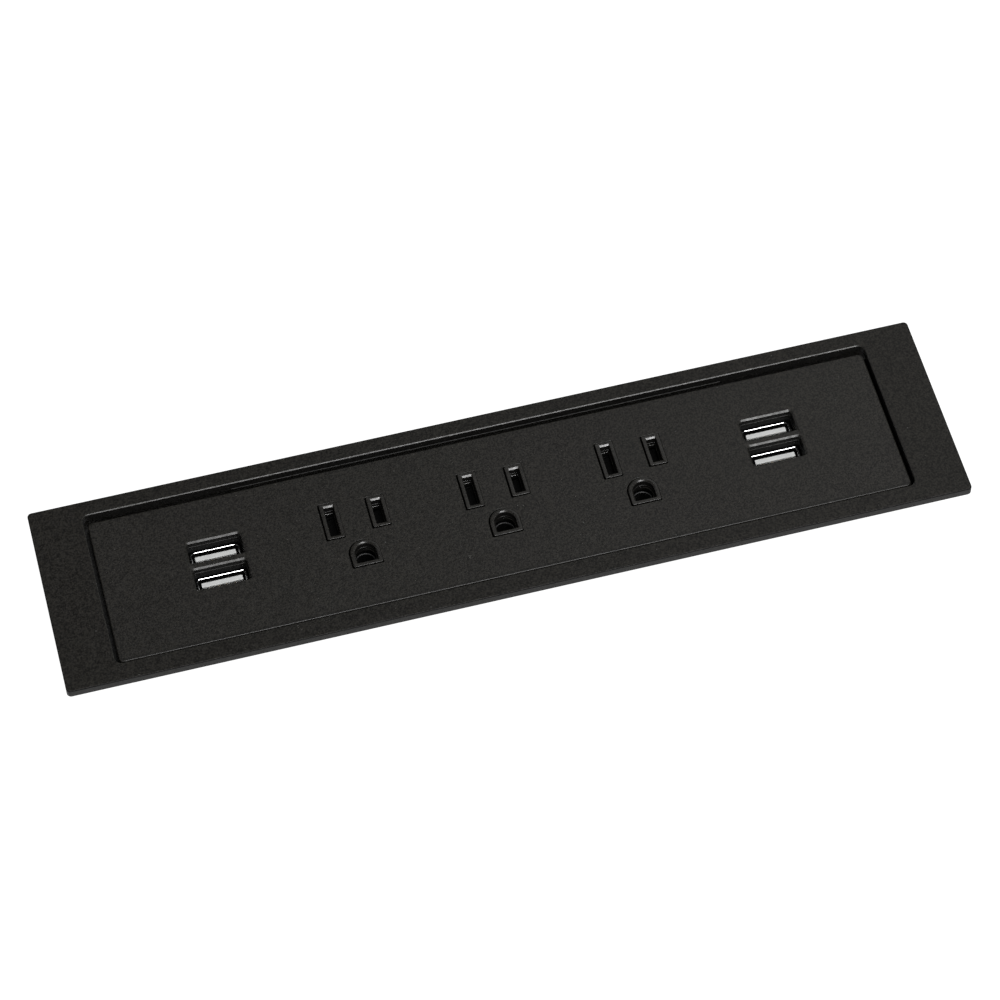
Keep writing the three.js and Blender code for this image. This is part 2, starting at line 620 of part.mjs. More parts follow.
// ---------- Cord gland in the right-hand end wall ----------
function glandBody() {
  const hex = prism(hexagon(GLAND.flats), TUB.half + GAP, TUB.half + 3.1);
  const thread = rod(GLAND.thread, 98.2, 111);
  return cut(join(hex, thread), rod(GLAND.bore, 90, 120));
}

function glandLocknut() {
  const inner = TUB.half - TUB.wall - GAP;
  return cut(prism(hexagon(10.8), inner - 2.7, inner), rod(GLAND.thread + GAP, 90, 120));
}

function glandNut() {
  const dome = turned([[0, 112], [6, 112], [6, 113], [5.5, 114.8], [4.7, 116], [4, 116.5], [0, 116.5]], 18);
  const body = join(prism(hexagon(GLAND.flats), 107.6, 112.6), dome);
  return cut(body, rod(GLAND.thread + GAP, 100, 114.4), rod(GLAND.bore, 110, 120));
}

const alongX = [Math.PI / 2, Math.PI / 2, 0];
const glandPlace = [0, GLAND.y, GLAND.z];
add("gland_body", glandBody(), blackPlastic, glandPlace, alongX);
add("gland_locknut", glandLocknut(), blackPlastic, glandPlace, alongX);
add("gland_nut", glandNut(), blackPlastic, glandPlace, alongX);
add("gland_seal", tube(4.3, 3.1, 111.4, 114), rubber, glandPlace, alongX);

// ---------- Screws ----------
function crossRecess(radius, z0, z1) {
  return join(box(-radius, radius, -0.35, 0.35, z0, z1), box(-0.35, 0.35, -radius, radius, z0, z1));
}

// A pan-head screw driven from below: the head's seat is at height 0 and the point is up.
function panScrew(radius, length, headRadius, headHeight) {
  const profile = [[0, -headHeight], [headRadius * 0.7, -headHeight], [headRadius, -headHeight * 0.55],
    [headRadius, 0], [radius, 0], [radius, length - radius], [radius * 0.3, length], [0, length]];
  return cut(turned(profile), crossRecess(headRadius * 0.55, -headHeight - OVER, -headHeight * 0.45));
}

// A countersunk screw driven from below, its head's face at height 0.
function flatScrew(radius, length, headRadius, headHeight) {
  const head = [[0, 0], [headRadius, 0], [headRadius, 0.25], [radius, headHeight]];
  const tip = [[radius, length - radius], [radius * 0.3, length], [0, length]];
  return cut(turned([...head, ...tip]), crossRecess(headRadius * 0.55, -OVER, headHeight * 0.5));
}

let frameScrew = 0;
for (const sy of [-1, 1]) {
  for (const sx of [-1, 1]) {
    frameScrew += 1;
    const place = [sx * FRAME_SCREWS.x, sy * FRAME_SCREWS.y, PLATE.bottom - GAP];
    add(`frame_screw_${frameScrew}`, panScrew(FRAME_SCREWS.radius, 5, 2.7, 1.2), steel, place);
  }
}
let coverScrew = 0;
for (const sx of [-1, 1]) {
  for (const { x, y } of COVER_SCREWS) {
    coverScrew += 1;
    add(`cover_screw_${coverScrew}`, flatScrew(1.1, 9, 2.5, 1.7), steel, [sx * x, y, 0.2]);
  }
}

// ---------- Swing-out clamps ----------
// The screw, with the push-on washer that keeps it in the lug. Its point turns in the collar above.
function clampScrew() {
  const washer = rod(3, 5.5, 6.3);
  const shank = panScrew(CLAMP.screw, 16.9, 3.6, 2).translate([0, 0, 2.9]);
  return join(shank, washer);
}

function clampNut() {
  const barrel = join(rod(3.3, DOG.bottom - 1, DOG.top), rod(4.2, DOG.bottom - 1, DOG.bottom - GAP));
  return cut(barrel, rod(CLAMP.screw + 0.35, 0, 20));
}

// The dog at rest, pointing to the back along the end wall.
function clampDog() {
  const arm = rectangle([DOG.width, DOG.reach], 2.4, 0, DOG.reach / 2);
  const body = join(rod(DOG.ring, DOG.bottom, DOG.top), chamferedPrism(arm, DOG.bottom, DOG.top, 0.4));
  const relief = box(-2.1, 2.1, 6.4, DOG.reach - 2.2, DOG.bottom - OVER, DOG.bottom + 1.4);
  return cut(body, rod(DOG.bore, 0, 20), relief);
}

for (const end of ENDS) {
  const place = [end.side * CLAMP.x, CLAMP.y, 0];
  add(`clamp_screw_${end.name}`, clampScrew(), steel, place);
  add(`clamp_nut_${end.name}`, clampNut(), brass, place);
  add(`clamp_dog_${end.name}`, clampDog(), blackPlastic, place);
}

export default group;
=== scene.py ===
import json
import math

import bmesh
import bpy
from mathutils import Matrix, Vector


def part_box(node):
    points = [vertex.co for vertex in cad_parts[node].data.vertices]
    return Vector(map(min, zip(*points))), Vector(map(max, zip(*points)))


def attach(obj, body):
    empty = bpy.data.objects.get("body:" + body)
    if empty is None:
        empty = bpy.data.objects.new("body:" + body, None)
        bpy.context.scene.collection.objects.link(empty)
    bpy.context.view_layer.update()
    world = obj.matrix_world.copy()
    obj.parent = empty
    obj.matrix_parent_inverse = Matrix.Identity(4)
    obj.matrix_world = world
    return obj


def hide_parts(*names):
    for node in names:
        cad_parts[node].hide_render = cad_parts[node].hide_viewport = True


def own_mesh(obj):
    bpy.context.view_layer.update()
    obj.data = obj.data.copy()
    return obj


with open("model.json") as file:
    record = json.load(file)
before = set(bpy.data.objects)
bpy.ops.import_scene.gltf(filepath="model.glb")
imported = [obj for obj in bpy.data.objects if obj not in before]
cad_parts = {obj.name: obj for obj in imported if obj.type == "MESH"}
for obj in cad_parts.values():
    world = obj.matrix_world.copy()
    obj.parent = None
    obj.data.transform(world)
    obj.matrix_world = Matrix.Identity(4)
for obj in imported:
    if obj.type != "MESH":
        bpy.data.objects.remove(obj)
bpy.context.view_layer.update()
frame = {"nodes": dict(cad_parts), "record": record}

# A flush-mounted furniture power strip. Shapes are written in millimetres and made in metres.
MM = 0.001

# The camera: where it is (mm), which way it looks, and its lens on a 36 mm sensor.
CAMERA = {
    "place": (-125.0, -547.3, 856.8),
    "azimuth": 12.88,
    "elevation": 55.87,
    "roll": 1.81,
    "lens": 135.57,
}

# The frame and the faceplate, with sizes as (along X, along Y).
FLANGE = 2.5
OPENING = {"center": (0, 0.375), "size": (217.2, 47.65), "corner": 2.0, "edge": 0.2}
AROUND_OPENING = (110, 25)  # half of the region that takes in the opening's edges but not the flange's
SKIRT = {"outer": (236.0, 50.4), "inner": (233.2, 48.3), "shift": 0.2, "corner": 2.0}
# The back of the skirt shows as a ledge inside the opening along its middle, at this y.
LEDGE_BACK = {"y": 24.07, "half": 68.0, "top": 25.6, "thick": 0.6}
BOSS = {"x": 112.5, "y": 19, "radius": 3.0, "pilot": 1.6, "bottom": 22.2}
FACE = {"thick": 2.9, "corner": 1.3, "edge": 0.38, "front": 0.32}
HOOK = {"pitch": 38.1, "half": 2, "rise": 23.7}
HOOK_ROWS = ((-18, -1, 20.1), (19, 1, 19.8))  # y, which way the barb points, and its top
USB_HOLE = {"size": (14.7, 6.3), "shift": (0.1, -0.12), "corner": 0.8, "edge": 0.42}

# One outlet, from its own middle.
BLADE_X = 6.35
BLADE_Y = 6.45
GROUND_Y = -5.45
PIN_Y = -5.3
SLOTS = [
    {"x": -BLADE_X, "collar": (4.8, 11.4), "mouth": (2.6, 9.1), "throat": (2.2, 8.6)},
    {"x": BLADE_X, "collar": (4.8, 9.75), "mouth": (2.6, 7.4), "throat": (2.2, 7.0)},
]
GROUND = {"collar": (8.0, 8.0), "mouth": (5.8, 5.7), "throat": 2.84}
CLEARANCE = 0.26
HOLE_OFFSET = 0.22  # the holes lie this far to the front and left of their collars
OUTLET_SHIFT = Vector((0.13, 0.12))  # the outlets stand this far right and back of their CAD nodes
FUNNEL = {"side": 0.16, "end": 0.4, "ground": 0.35}
# A small step part of the way down each hole: how deep it lies, and how wide it is.
STEP = {"depth": 2.1, "slot": 0.03, "ground": 0.05, "usb": 0.05, "usb_depth": 1.9}
LEDGE = 3.0  # the throat of each slot and ground hole starts this far down
PLATE = 1.1  # thickness of the plate under the collars
TRACK_END = 15.1  # where a shutter's track ends, from the outlet's own middle
BUS = {"low": 3.0, "high": 3.6, "width": 2.0, "gap": 9}  # the barrels' gap is in degrees either side
LEAD_IN = {"front": 12.2, "back": 11.0}  # width of the bent tab on the long walls of each USB shell
SHELL = {"outside": (13.1, 5.7), "inside": (12.5, 5.1), "rim": 0.5}  # the rim lies this far under the tabs
TONGUE = {"foot": (11.8, 4.4), "foot_top": 13.3, "blade": 11.1, "front": 0.08, "back": 1.56}
STEEPEST = 0.3  # a face whose normal rises less than this is a wall
FLATTEST = 0.98  # and one whose normal rises more is a flat top

SIDES = ("left", "right")
OUTLETS = ("left", "middle", "right")
ROWS = ("front", "back")


# ---------- Outlines: functions of how far they are grown ----------
def along_arcs(arcs):
    """Points along arcs, each given by its middle, radius, first and last angle and number of steps."""
    points = []
    for middle, radius, start, end, count in arcs:
        for k in range(count + 1):
            angle = math.radians(start + (end - start) * k / count)
            points.append((middle[0] + radius * math.cos(angle), middle[1] + radius * math.sin(angle)))
    return points


def rectangle(center, size, corner, steps=5):
    def at(grow=0.0):
        half = [side / 2 + grow for side in size]
        radius = max(corner + grow, 0.04)
        arcs = []
        for sx, sy, start in ((1, 1, 0), (-1, 1, 90), (-1, -1, 180), (1, -1, 270)):
            middle = (center[0] + sx * (half[0] - radius), center[1] + sy * (half[1] - radius))
            arcs.append((middle, radius, start, start + 90, steps))
        return along_arcs(arcs)

    return at


def circle(center, radius, steps=40):
    def at(grow=0.0):
        r = radius + grow
        angles = [2 * math.pi * k / steps for k in range(steps)]
        return [(center[0] + r * math.cos(a), center[1] + r * math.sin(a)) for a in angles]

    return at


def arch(center, size, corner=0.3, steps=20):
    """Flat at the front and a half circle at the back."""

    def at(grow=0.0):
        radius = size[0] / 2 + grow
        front = center[1] - size[1] / 2 - grow
        spring = center[1] + size[1] / 2 - size[0] / 2
        small = max(corner + grow, 0.04)
        return along_arcs([
            ((center[0] + radius - small, front + small), small, 270, 360, 4),
            ((center[0], spring), radius, 0, 180, steps),
            ((center[0] - radius + small, front + small), small, 180, 270, 4),
        ])

    return at


def slotted(center, size, corner=0.15):
    """A rectangle that grows by a different amount across and along."""
    return lambda grow: rectangle(center, (size[0] + 2 * grow[0], size[1] + 2 * grow[1]), corner, 4)()


def cross(arm, width):
    """The outline of a cross recess."""

    def at(grow=0.0):
        a, w = arm + grow, width + grow / 3
        quarter = [(a, -w), (a, w), (w, w)]
        points = []
        for c, s in ((1, 0), (0, 1), (-1, 0), (0, -1)):
            points += [(c * x - s * y, s * x + c * y) for x, y in quarter]
        return points

    return at


def dog_outline(ring, half, reach, corner, steps=6):
    """A ring with an arm that reaches to the back."""

    def at(grow=0.0):
        r, w, end, c = ring + grow, half + grow, reach + grow, corner + grow
        meet = math.degrees(math.acos(w / r))
        return along_arcs([
            ((0, 0), r, 180 - meet, 360 + meet, 36),
            ((w - c, end - c), c, 0, 90, steps),
            ((c - w, end - c), c, 90, 180, steps),
        ])

    return at


# ---------- Mesh builders ----------
def loft(bm, rings, closed=False):
    """Bands of faces from ring to ring; gives back the first and the last loop."""
    loops = [[bm.verts.new(point) for point in ring] for ring in rings]
    following = loops[1:] + (loops[:1] if closed else [])
    for low, high in zip(loops, following):
        for i in range(len(low)):
            j = (i + 1) % len(low)
            bm.faces.new((low[i], low[j], high[j], high[i]))
    return loops[0], loops[-1]


def wall(bm, outline, profile):
    """Wraps an outline in bands: the profile lists how far it is grown at each height."""
    return loft(bm, [[(x, y, z) for x, y in outline(grow)] for grow, z in profile])


def lid(bm, *loops):
    """A flat face that fills the first loop, less the loops inside it."""
    if len(loops) == 1:
        bm.faces.new(loops[0])
        return
    edges = [bm.edges.get(pair) for loop in loops for pair in zip(loop, loop[1:] + loop[:1])]
    bmesh.ops.triangle_fill(bm, edges=edges, use_beauty=True, use_dissolve=False)


def cap(bm, ends):
    """Closes the two ends that loft or wall leaves open."""
    for end in ends:
        lid(bm, end)


def rounded(z, radius, side, up=1, steps=4):
    """Quarter round between a flat face at height z and the wall; side is 1 for a rim and -1 for a hole."""
    points = []
    for k in range(steps + 1):
        angle = math.pi / 2 * k / steps
        points.append((-side * radius * (1 - math.sin(angle)), z - up * radius * (1 - math.cos(angle))))
    return points if up > 0 else points[::-1]


def bevelled(z, size, side, soft=0.03):
    """Flat 45 degree edge below a flat face at height z, its two corners eased; side as for rounded."""
    steps = [(size + soft, 0), (size, soft / 2), (soft / 2, size), (0, size + soft)]
    return [(-side * grow, z - drop) for grow, drop in steps]


def turned(bm, profile, sides=48, closed=True):
    """Rings about Z. Each is (radius, height, flats, ripple): flats cuts a hexagon, ripple adds ribs."""
    rings = []
    for radius, height, *more in profile:
        flats = more[0] if more else 0
        ripple = more[1] if len(more) > 1 else 0
        ring = []
        for k in range(sides):
            degrees = 360 * k / sides
            r = radius
            if flats:
                r = min(r, flats / 2 / math.cos(math.radians((degrees + 30) % 60 - 30)))
            if ripple:
                r -= ripple * (0.5 - 0.5 * math.cos(math.radians(degrees * sides / 3)))
            ring.append((r * math.cos(math.radians(degrees)), r * math.sin(math.radians(degrees)), height))
        rings.append(ring)
    return loft(bm, rings, closed)


def slab_x(bm, points, x0, x1):
    """A prism along X of an outline in Y and Z."""
    cap(bm, loft(bm, [[(x, y, z) for y, z in points] for x in (x0, x1)]))


def finish(bm, name, slot, body, nodes=(), place=None, smooth=32, look=None):
    """Turns mesh code into a piece that rides on its body and stands for its CAD nodes."""
    bmesh.ops.recalc_face_normals(bm, faces=bm.faces)
    mesh = bpy.data.meshes.new(name)
    bm.to_mesh(mesh)
    bm.free()
    if place is not None:
        mesh.transform(place)
    mesh.transform(Matrix.Scale(MM, 4))
    return settle(mesh, name, slot, body, nodes, smooth, look)


def settle(mesh, name, slot, body, nodes=(), smooth=32, look=None):
    """Makes a mesh into a piece: its finish (the look, else the one the slot names), its shading, its body
    and the nodes it stands for.
    """
    mesh.materials.clear()
    mesh.materials.append(MATERIALS[look or slot])
    mesh.shade_smooth()
    mesh.set_sharp_from_angle(angle=math.radians(smooth))
    obj = bpy.data.objects.new(name, mesh)
    bpy.context.scene.collection.objects.link(obj)
    weighted = obj.modifiers.new("weighted_normals", "WEIGHTED_NORMAL")
    weighted.keep_sharp = True
    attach(obj, body)
    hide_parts(*nodes)
    return obj


def softened(node, width, slot, body="unit", steps=2, sharpest=35):
    """The shape of a CAD node with its hard edges rounded off."""
    bm = bmesh.new()
    bm.from_mesh(frame["nodes"][node].data)
    bmesh.ops.remove_doubles(bm, verts=bm.verts, dist=2e-6)
    bmesh.ops.dissolve_limit(bm, angle_limit=math.radians(1.5), verts=bm.verts, edges=bm.edges)
    hard = [e for e in bm.edges if len(e.link_faces) == 2 and e.calc_face_angle(0) > math.radians(sharpest)]
    bmesh.ops.bevel(
        bm, geom=hard, offset=width * MM, segments=steps, profile=0.5, affect="EDGES", clamp_overlap=True
    )
    bmesh.ops.recalc_face_normals(bm, faces=bm.faces)
    mesh = bpy.data.meshes.new(node + "_soft")
    bm.to_mesh(mesh)
    bm.free()
    return settle(mesh, node + "_soft", slot, body, [node])


def box_mm(node):
    """The box of a CAD node, in millimetres."""
    low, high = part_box(node)
    return low / MM, high / MM


def middle_mm(node):
    low, high = box_mm(node)
    return (low + high) / 2


# ---------- Materials ----------
class Finish:
    """A material whose colour, roughness and relief come from noise in the object's own coordinates."""

    def __init__(self, name, roughness, metallic=0.0, specular=0.5):
        self.material = bpy.data.materials.new(name)
        self.material.use_nodes = True
        self.tree = self.material.node_tree
        self.shader = self.tree.nodes["Principled BSDF"]
        self.shader.inputs["Roughness"].default_value = roughness
        self.shader.inputs["Metallic"].default_value = metallic
        self.shader.inputs["Specular IOR Level"].default_value = specular
        self.coords = self.tree.nodes.new("ShaderNodeTexCoord").outputs["Object"]

    def stretched(self, scale):
        mapping = self.tree.nodes.new("ShaderNodeMapping")
        mapping.inputs["Scale"].default_value = scale
        self.tree.links.new(self.coords, mapping.inputs["Vector"])
        return mapping.outputs["Vector"]

    def noise(self, scale, detail=2.0, coords=None):
        texture = self.tree.nodes.new("ShaderNodeTexNoise")
        texture.inputs["Scale"].default_value = scale
        texture.inputs["Detail"].default_value = detail
        self.tree.links.new(coords or self.coords, texture.inputs["Vector"])
        return texture.outputs["Fac"]

    def distance(self):
        length = self.tree.nodes.new("ShaderNodeVectorMath")
        length.operation = "LENGTH"
        self.tree.links.new(self.coords, length.inputs[0])
        return length.outputs["Value"]

    def cells(self, scale):
        texture = self.tree.nodes.new("ShaderNodeTexVoronoi")
        texture.inputs["Scale"].default_value = scale
        self.tree.links.new(self.coords, texture.inputs["Vector"])
        return texture.outputs["Distance"]

    def ramp(self, source, *stops):
        node = self.tree.nodes.new("ShaderNodeValToRGB")
        elements = node.color_ramp.elements
        while len(elements) < len(stops):
            elements.new(0.5)
        for element, (position, color) in zip(elements, stops):
            element.position = position
            element.color = (*color, 1)
        self.tree.links.new(source, node.inputs["Fac"])
        return node.outputs["Color"]

    def span(self, source, low, high, start=0.3, end=0.7):
        node = self.tree.nodes.new("ShaderNodeMapRange")
        for key, value in (("From Min", start), ("From Max", end), ("To Min", low), ("To Max", high)):
            node.inputs[key].default_value = value
        self.tree.links.new(source, node.inputs["Value"])
        return node.outputs["Result"]

    def math(self, operation, a, b):
        node = self.tree.nodes.new("ShaderNodeMath")
        node.operation = operation
        for socket, value in zip(node.inputs, (a, b)):
            if isinstance(value, float):
                socket.default_value = value
            else:
                self.tree.links.new(value, socket)
        return node.outputs["Value"]

    def mix(self, factor, a, b, blend="MIX"):
        node = self.tree.nodes.new("ShaderNodeMix")
        node.data_type = "RGBA"
        node.blend_type = blend
        for key, value in (("Factor_Float", factor), ("A_Color", a), ("B_Color", b)):
            socket = next(s for s in node.inputs if s.identifier == key)
            if isinstance(value, float):
                socket.default_value = value
            elif isinstance(value, tuple):
                socket.default_value = (*value, 1)
            else:
                self.tree.links.new(value, socket)
        return next(s for s in node.outputs if s.identifier == "Result_Color")

    def color(self, source):
        self.tree.links.new(source, self.shader.inputs["Base Color"])

    def roughness(self, source):
        self.tree.links.new(source, self.shader.inputs["Roughness"])

    def relief(self, height, strength, depth):
        bump = self.tree.nodes.new("ShaderNodeBump")
        bump.inputs["Strength"].default_value = strength
        bump.inputs["Distance"].default_value = depth * MM
        self.tree.links.new(height, bump.inputs["Height"])
        self.tree.links.new(bump.outputs["Normal"], self.shader.inputs["Normal"])


def shade(color, factor):
    return tuple(min(1.0, c * factor) for c in color)


def moulded(name, color, roughness, grain=2200.0, depth=0.07, specks=0.0, specular=0.35):
    """Moulded plastic: spark-eroded grain, slow drift of tone and a few bright specks, which are dust and
    painted glints.
    """
    f = Finish(name, roughness, specular=specular)
    fine = f.noise(grain, 3.0)
    coarse = f.noise(grain / 3.3, 2.0)
    tone = f.ramp(fine, (0.38, shade(color, 0.3)), (0.62, shade(color, 1.6)))
    drift = f.ramp(f.noise(16.0), (0.35, (0.9, 0.9, 0.9)), (0.65, (1.0, 1.0, 1.0)))
    base = f.mix(1.0, tone, drift, "MULTIPLY")
    # Bright specks: dust, and painted glints.
    if specks:
        dot = f.span(f.cells(430.0), 1.0, 0.0, 0.03, 0.075)
        few = f.span(f.noise(210.0, 0.0), 0.0, specks, 0.6, 0.68)
        base = f.mix(f.math("MULTIPLY", dot, few), base, (0.3, 0.3, 0.29))
    f.color(base)
    f.roughness(f.span(coarse, roughness - 0.06, roughness + 0.06))
    f.relief(f.math("ADD", fine, coarse), 0.7, depth)
    return f.material


def metal(name, color, roughness, brushed=(1.0, 1.0, 0.06), scale=900.0):
    """Rolled or plated metal with faint drawing lines and a little tarnish."""
    f = Finish(name, roughness, metallic=1.0)
    lines = f.noise(scale, 3.0, f.stretched(brushed))
    tarnish_and_shade = f.noise(160.0, 3.0)
    f.color(f.ramp(tarnish_and_shade, (0.3, shade(color, 0.78)), (0.6, color)))
    f.roughness(f.span(lines, roughness - 0.06, roughness + 0.08))
    f.relief(lines, 0.1, 0.004)
    return f.material


def smooth_plastic(name, color, roughness, variation=0.08):
    """Resin, nylon, sleeve or insulation: nearly smooth, with flow marks."""
    f = Finish(name, roughness)
    flow = f.noise(240.0, 3.0, f.stretched((1.0, 1.0, 0.3)))
    f.color(f.ramp(flow, (0.35, shade(color, 1 - variation)), (0.65, shade(color, 1 + variation / 2))))
    f.roughness(f.span(f.noise(900.0), roughness - 0.05, roughness + 0.08))
    f.relief(f.noise(1500.0, 2.0), 0.25, 0.012)
    return f.material


def circuit_board(name, color):
    """Solder mask with copper tracks showing through it, and pads."""
    f = Finish(name, 0.4)
    bands = f.math("PINGPONG", f.noise(190.0, 0.0), 0.06)
    tracks = f.ramp(bands, (0.35, (0.0, 0.0, 0.0)), (0.45, (1.0, 1.0, 1.0)))
    base = f.mix(tracks, color, shade(color, 1.9))
    pads = f.span(f.cells(260.0), 1.0, 0.0, 0.1, 0.14)
    f.color(f.mix(pads, base, (0.45, 0.42, 0.36)))
    f.roughness(f.span(f.noise(700.0), 0.34, 0.5))
    f.relief(tracks, 0.4, 0.03)
    return f.material


def rubbery(name, color):
    """Rubber or ferrite: rough, with fine grit."""
    f = Finish(name, 0.8)
    grit = f.noise(3200.0, 3.0)
    f.color(f.ramp(grit, (0.35, shade(color, 0.7)), (0.7, shade(color, 1.5))))
    f.roughness(f.span(f.noise(500.0), 0.72, 0.9))
    f.relief(grit, 0.5, 0.03)
    return f.material


BLACK = (0.0117, 0.0109, 0.0092)
MATERIALS = {
    "black_plastic": moulded("black_plastic", BLACK, 0.42, specks=0.3),
    "frame_plastic": moulded("frame_plastic", shade(BLACK, 0.92), 0.42, specks=0.3, specular=0.25),
    "collar_plastic": moulded("collar_plastic", BLACK, 0.32, 3000.0, 0.012, specular=0.5),
    "edge_plastic": moulded("edge_plastic", BLACK, 0.375, 3000.0, 0.012, specular=0.42),
    "housing_plastic": moulded("housing_plastic", (0.013, 0.013, 0.0125), 0.6, 1500.0, 0.05),
    "module_plastic": moulded("module_plastic", (0.01, 0.01, 0.01), 0.55, 2600.0, 0.02),
    # Painted shade: a darker black for the walls of holes and the floor of the groove, which lie in shade.
    "bore_shade_plastic": moulded("bore_shade_plastic", (0.004, 0.0038, 0.0034), 0.5, 3000.0, 0.02, specular=0.2),
    # Nearly black, dull plastic: the shutters, darker than the other black plastic as painted shade in the
    # slots, and painted shade on the flange's outer edge.
    "shutter_plastic": moulded("shutter_plastic", (0.0025, 0.0025, 0.0025), 0.6, 3200.0, 0.01, specular=0.08),
    "steel": metal("steel", (0.55, 0.56, 0.58), 0.3),
    "brass": metal("brass", (0.72, 0.5, 0.2), 0.3),
    "nickel": metal("nickel", (0.72, 0.72, 0.72), 0.24),
    # Painted shade: nearly black metal laid on the ground barrels and the walls of the USB shells, down in
    # their holes.
    "tarnish_and_shade": metal("tarnish_and_shade", (0.045, 0.045, 0.045), 0.55),
    "white_resin": smooth_plastic("white_resin", (0.8, 0.81, 0.8), 0.42),
    "circuit_board": circuit_board("circuit_board", (0.012, 0.085, 0.03)),
    "transformer_core": rubbery("transformer_core", (0.03, 0.03, 0.032)),
    "capacitor_sleeve": smooth_plastic("capacitor_sleeve", (0.023, 0.072, 0.238), 0.28),
    "rubber": rubbery("rubber", (0.01, 0.01, 0.01)),
    "block_nylon": smooth_plastic("block_nylon", (0.62, 0.59, 0.5), 0.5),
    "line_insulation": smooth_plastic("line_insulation", (0.012, 0.012, 0.012), 0.4),
    "neutral_insulation": smooth_plastic("neutral_insulation", (0.7, 0.7, 0.67), 0.4),
    "earth_insulation": smooth_plastic("earth_insulation", (0.03, 0.24, 0.045), 0.4),
}


def repaint(obj, look, chosen):
    """Gives another finish to the faces whose middle (mm) and normal's height the test picks out."""
    obj.data.materials.append(MATERIALS[look])
    for face in obj.data.polygons:
        if chosen(face.center / MM, face.normal.z):
            face.material_index = len(obj.data.materials) - 1


# ---------- Bezel frame and faceplate ----------
def bezel_frame():
    low, high = box_mm("bezel_frame")
    top, bottom = high.z, low.z
    under = top - FLANGE
    outline = rectangle((0, 0), (high.x - low.x, high.y - low.y), 1.2, 8)
    opening = rectangle(OPENING["center"], OPENING["size"], OPENING["corner"], 8)
    skirt = rectangle((0, 0), SKIRT["outer"], SKIRT["corner"], 8)
    inside = rectangle((0, SKIRT["shift"]), SKIRT["inner"], SKIRT["corner"], 8)
    bm = bmesh.new()
    rim_top, rim_low = wall(bm, outline, rounded(top, 0.3, 1) + rounded(under, 0.2, 1, -1, 2))
    hole_top, hole_low = wall(bm, opening, bevelled(top, OPENING["edge"], -1) + [(0, under)])
    skirt_top, skirt_low = wall(bm, skirt, [(0.2, under), (0, under - 0.2)] + rounded(bottom, 0.2, 1, -1, 2))
    inside_top, inside_low = wall(bm, inside, [(0, under)] + rounded(bottom, 0.2, -1, -1, 2))
    lid(bm, rim_top, hole_top)
    lid(bm, rim_low, skirt_top)
    lid(bm, skirt_low, inside_low)
    lid(bm, inside_top, hole_low)
    y, ledge = LEDGE_BACK["y"], LEDGE_BACK["top"]
    behind = y + LEDGE_BACK["thick"]
    section = [(y, bottom + 0.3), (y, ledge - 0.1), (y + 0.1, ledge), (behind, ledge), (behind, bottom + 0.3)]
    slab_x(bm, section, -LEDGE_BACK["half"], LEDGE_BACK["half"])
    boss_end = BOSS["bottom"]
    for x in (-BOSS["x"], BOSS["x"]):
        for y in (-BOSS["y"], BOSS["y"]):
            boss = circle((x, y), BOSS["radius"], 32)
            boss_top, boss_low = wall(bm, boss, [(0, under + 0.1)] + rounded(boss_end, 0.2, 1, -1, 2))
            pilot = circle((x, y), BOSS["pilot"], 24)
            pilot_top, pilot_low = wall(bm, pilot, [(0, under + 0.1), (0, boss_end)])
            lid(bm, boss_top, pilot_top)
            lid(bm, boss_low, pilot_low)
    obj = finish(bm, "bezel_flange_and_skirt", "black_plastic", "unit", ["bezel_frame"], look="frame_plastic")

    def inner(at):
        return abs(at.x) < AROUND_OPENING[0] and abs(at.y) < AROUND_OPENING[1]

    def edge(at, tilt):
        return at.z > top - 1 and STEEPEST < tilt < FLATTEST

    # Painted shade: the walls, and the floor of the groove inside the opening, get a darker black.
    def shaded_face(at, tilt):
        return at.z > under and abs(tilt) < STEEPEST or inner(at) and under < at.z < ledge + 0.4

    repaint(obj, "bore_shade_plastic", shaded_face)
    repaint(obj, "edge_plastic", lambda at, tilt: inner(at) and edge(at, tilt))
    # Painted shade: the rounding along the flange's outer edge gets the nearly black, dull plastic, which
    # hides its highlight.
    repaint(obj, "shutter_plastic", lambda at, tilt: not inner(at) and edge(at, tilt))


def hook(bm, x, y, outward, barb_top):
    """A snap hook under the faceplate, with its barb on the outward side."""
    near, far = y - outward * 0.5, y + outward * 0.6
    bottom = barb_top - 1.6
    rise = HOOK["rise"]
    tip = far + outward * 1.1
    points = [
        (near, rise),
        (near, bottom + 0.15),
        (near + outward * 0.15, bottom),
        (far, bottom),
        (tip, barb_top - 0.6),
        (tip, barb_top - 0.1),
        (tip - outward * 0.1, barb_top),
        (far, barb_top),
        (far, rise),
    ]
    slab_x(bm, points, x - HOOK["half"], x + HOOK["half"])


